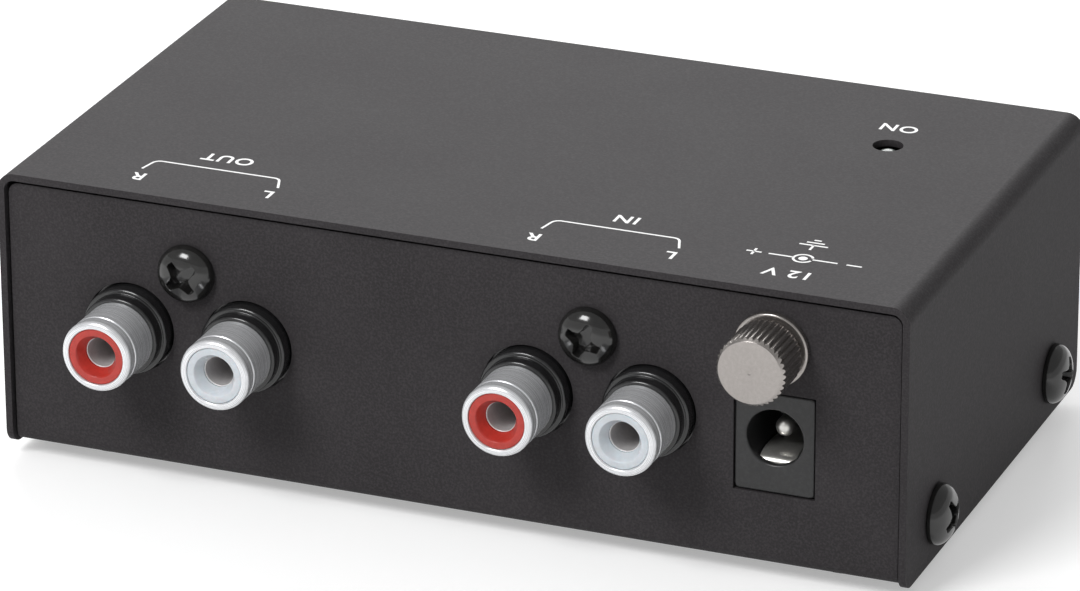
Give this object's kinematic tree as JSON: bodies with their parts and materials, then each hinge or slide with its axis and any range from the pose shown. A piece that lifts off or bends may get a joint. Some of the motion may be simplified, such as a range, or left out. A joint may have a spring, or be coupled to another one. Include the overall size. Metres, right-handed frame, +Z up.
{
  "type": "phono preamplifier",
  "caption": "Small box-shaped phono preamplifier with two pairs of phono jacks, a direct current socket, a ground terminal with a thumb nut and an indicator lamp in a folded steel case.",
  "frame": {"origin": "under the middle of the whole object, on the surface that its feet stand on", "axes": "+Z up; -Y is the side with the jacks; +X runs along the jack panel from the output pair to the power socket"},
  "size_m": [0.1094, 0.068, 0.0341],
  "materials": {
    "case_paint": "fine matt black powder paint",
    "black_screw": "black oxide, half gloss",
    "foot_rubber": "matt",
    "jack_moulding": "moulded, satin",
    "socket_moulding": "moulded, satin",
    "shell_plating": "bright nickel plating",
    "terminal_plating": "satin nickel plating",
    "contact_plating": "tin plating",
    "red_insert": "glossy moulding",
    "white_insert": "glossy moulding",
    "wire_cover": "smooth",
    "lamp_lens": "clear",
    "spacer_plastic": "moulded",
    "board_laminate": "green solder mask",
    "standoff_brass": "turned",
    "inner_screw": "zinc plated",
    "can_sleeve": "shrunk sleeve",
    "film_box": "smooth",
    "disc_coating": "dipped",
    "resistor_coating": "lacquer",
    "chip_moulding": "moulded"
  },
  "bodies": {
    "case": {"base_chassis": "case_paint", "board_screws": "inner_screw", "board_standoffs": "standoff_brass", "circuit_board": "board_laminate", "coupling_capacitors": "can_sleeve", "cover_screws": "black_screw", "dc_centre_pin": "contact_plating", "dc_jack_body": "socket_moulding", "dc_spring_contact": "contact_plating", "disc_capacitors": "disc_coating", "film_capacitors": "film_box", "ground_lug": "contact_plating", "ground_screw": "terminal_plating", "ground_wire": "wire_cover", "input_amplifier": "chip_moulding", "input_jack_body": "jack_moulding", "input_left_contact": "contact_plating", "input_left_insert": "white_insert", "input_left_shell": "shell_plating", "input_right_contact": "contact_plating", "input_right_insert": "red_insert", "input_right_shell": "shell_plating", "jack_screws": "black_screw", "led_leads": "contact_plating", "led_lens": "lamp_lens", "led_spacer": "spacer_plastic", "main_supply_capacitor": "can_sleeve", "output_amplifier": "chip_moulding", "output_jack_body": "jack_moulding", "output_left_contact": "contact_plating", "output_left_insert": "white_insert", "output_left_shell": "shell_plating", "output_right_contact": "contact_plating", "output_right_insert": "red_insert", "output_right_shell": "shell_plating", "rectifier_diode": "chip_moulding", "resistors": "resistor_coating", "rubber_feet": "foot_rubber", "second_supply_capacitor": "can_sleeve", "top_cover": "case_paint", "voltage_regulator": "chip_moulding"},
    "washer": {"ground_washer": "terminal_plating"},
    "thumb_nut": {"ground_nut": "terminal_plating"}
  },
  "joints": [
    {"name": "ground_washer_slide", "type": "slide", "parent": "case", "child": "washer", "axis": [0, -1, 0], "range_m": [0, 0.00384]},
    {"name": "ground_nut_turn", "type": "hinge", "parent": "washer", "child": "thumb_nut", "pos_m": [0.0372, -0.02795, 0.0272], "axis": [0, -1, 0], "range_deg": [0, 1980]}
  ],
  "couplings": [
    {"joint": "ground_nut_turn", "follows": "ground_washer_slide", "rad_per_m": 8976}
  ]
}
